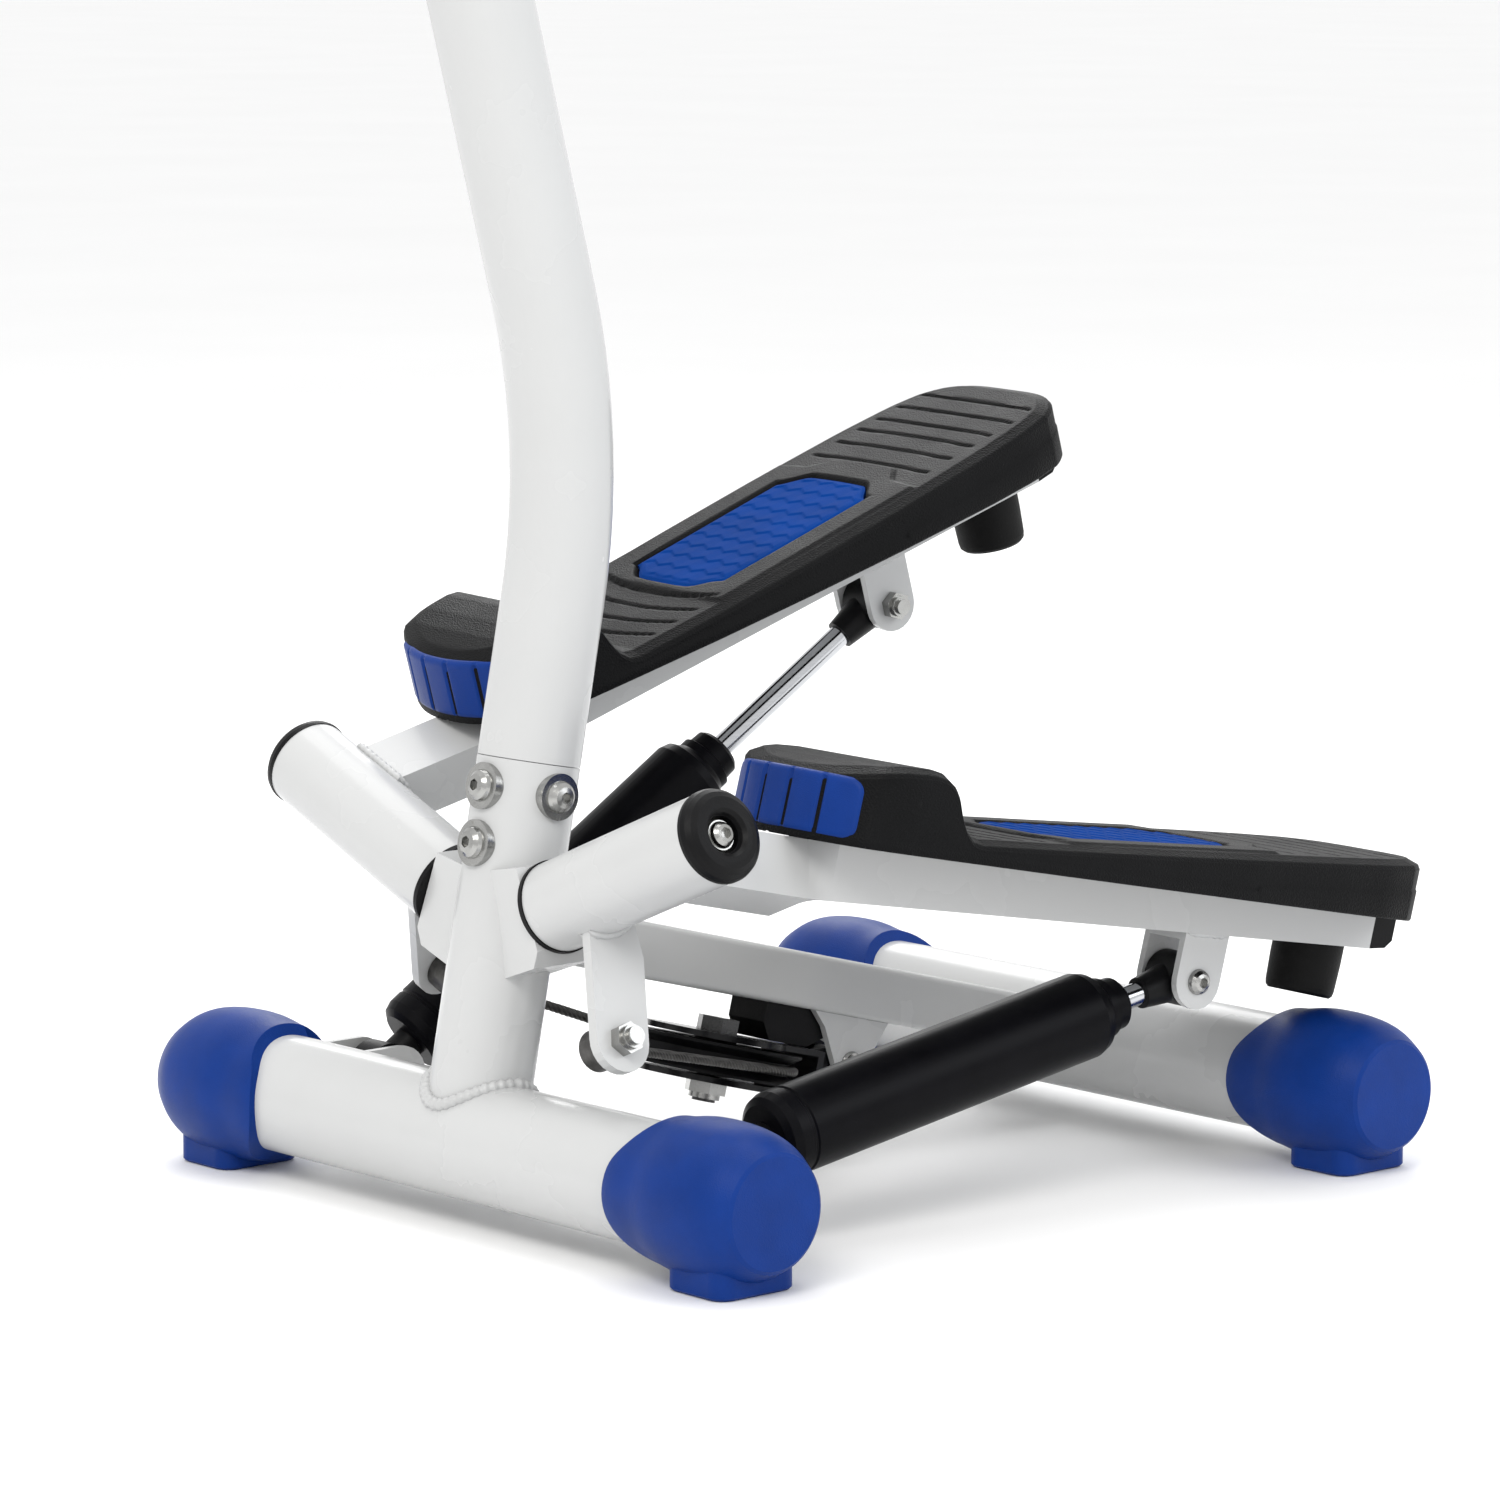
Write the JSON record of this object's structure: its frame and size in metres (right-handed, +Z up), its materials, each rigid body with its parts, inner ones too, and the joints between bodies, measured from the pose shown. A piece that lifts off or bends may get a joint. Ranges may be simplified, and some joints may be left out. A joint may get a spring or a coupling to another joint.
{
  "type": "stepper",
  "caption": "Home stair stepper: low steel base, pedals on inclined hinge tubes linked by a wire rope over a pulley, with damper cylinders and a tall handlebar mast",
  "frame": {"origin": "centre of the footprint of the whole machine, on the floor under the end-cap feet", "axes": "+Z up; -Y is the mast end that the user faces; +Y is the heel end of the pedals; +X is the user's left when standing on the pedals and facing the mast"},
  "size_m": [0.448, 0.6248, 1.154],
  "materials": {
    "white_paint": "glossy white powder coat",
    "blue_plastic": "satin moulded blue plastic",
    "black_plastic": "grained black moulded plastic",
    "black_paint": "satin black paint",
    "zinc": "bright zinc plated steel",
    "chrome": "polished chrome",
    "wire": "dark twisted steel wire",
    "rubber": "matte black rubber",
    "foam": "matte black foam"
  },
  "bodies": {
    "frame": {"base_front_tube": "white_paint", "base_rear_tube": "white_paint", "end_caps_front": "blue_plastic", "end_caps_rear": "blue_plastic", "column": "white_paint", "mast": "white_paint", "mast_washers": "zinc", "frame_bolts": "zinc", "frame_nuts": "zinc", "centre_rail": "white_paint", "rail_tabs": "white_paint", "pulley_fork": "black_paint", "pulley_bolt": "zinc", "fork_tail_bush": "zinc", "fork_guide_block": "black_plastic", "pivot_brackets": "white_paint", "pivot_axles": "zinc", "axle_screws": "zinc", "damper_brackets": "white_paint", "rope_wrap": "wire", "left_rope_run": "wire", "right_rope_run": "wire", "handlebar": "white_paint", "handlebar_grips": "foam"},
    "pulley": {"pulley": "black_plastic"},
    "left_pedal": {"left_pivot_tube": "white_paint", "left_pivot_bushes": "black_plastic", "left_pivot_cap": "black_plastic", "left_arm": "white_paint", "left_arm_plug": "black_plastic", "left_lever": "white_paint", "left_clevis": "white_paint", "left_bumper": "rubber", "left_pedal": "black_plastic", "left_tread_pad": "blue_plastic", "left_toe_panel": "blue_plastic", "left_fasteners": "zinc", "left_rope_end": "wire"},
    "left_rod": {"left_rod": "chrome", "left_rod_eye": "black_plastic"},
    "left_cylinder": {"left_cylinder": "black_paint", "left_cylinder_eye": "black_plastic"},
    "right_pedal": {"right_pivot_tube": "white_paint", "right_pivot_bushes": "black_plastic", "right_pivot_cap": "black_plastic", "right_arm": "white_paint", "right_arm_plug": "black_plastic", "right_lever": "white_paint", "right_clevis": "white_paint", "right_bumper": "rubber", "right_pedal": "black_plastic", "right_tread_pad": "blue_plastic", "right_toe_panel": "blue_plastic", "right_fasteners": "zinc", "right_rope_end": "wire"},
    "right_rod": {"right_rod": "chrome", "right_rod_eye": "black_plastic"},
    "right_cylinder": {"right_cylinder": "black_paint", "right_cylinder_eye": "black_plastic"}
  },
  "joints": [
    {"name": "left_pedal_hinge", "type": "hinge", "parent": "frame", "child": "left_pedal", "pos_m": [0.0419, -0.13348, 0.159], "axis": [0.9248, 0, 0.3804], "range_deg": [-0.5, 33], "deforming": ["left_rope_run"]},
    {"name": "right_pedal_hinge", "type": "hinge", "parent": "frame", "child": "right_pedal", "pos_m": [-0.0419, -0.13348, 0.159], "axis": [0.9248, 0, -0.3804], "range_deg": [-33.1, 0.6], "deforming": ["right_rope_run"]},
    {"name": "left_rod_hinge", "type": "hinge", "parent": "left_pedal", "child": "left_rod", "pos_m": [0.14972, 0.18076, 0.1009], "axis": [-0.9942, 0.1065, -0.0141], "range_deg": [-0.2, 3]},
    {"name": "left_damper_slide", "type": "slide", "parent": "left_rod", "child": "left_cylinder", "axis": [-0.0469, -0.9826, -0.1795], "range_m": [-0.0015, 0.079]},
    {"name": "right_rod_hinge", "type": "hinge", "parent": "right_pedal", "child": "right_rod", "pos_m": [-0.07979, 0.18241, 0.27092], "axis": [0.9942, -0.1065, -0.0141], "range_deg": [-0.2, 4]},
    {"name": "right_damper_slide", "type": "slide", "parent": "right_rod", "child": "right_cylinder", "axis": [-0.1523, -0.7831, -0.603], "range_m": [-0.0775, 0.0015]},
    {"name": "pulley_spin", "type": "hinge", "parent": "frame", "child": "pulley", "pos_m": [0, -0.00058, 0.062], "axis": [0, 0.2538, 0.9673], "range_deg": [-2, 58]}
  ],
  "couplings": [
    {"joint": "right_pedal_hinge", "follows": "left_pedal_hinge", "ratio": -1},
    {"joint": "left_rod_hinge", "follows": "left_pedal_hinge", "ratio": 0.083241},
    {"joint": "left_damper_slide", "follows": "left_pedal_hinge", "m_per_rad": 0.13642},
    {"joint": "right_rod_hinge", "follows": "left_pedal_hinge", "ratio": 0.11392},
    {"joint": "right_damper_slide", "follows": "left_pedal_hinge", "m_per_rad": -0.13375},
    {"joint": "pulley_spin", "follows": "left_pedal_hinge", "ratio": 1.71}
  ]
}
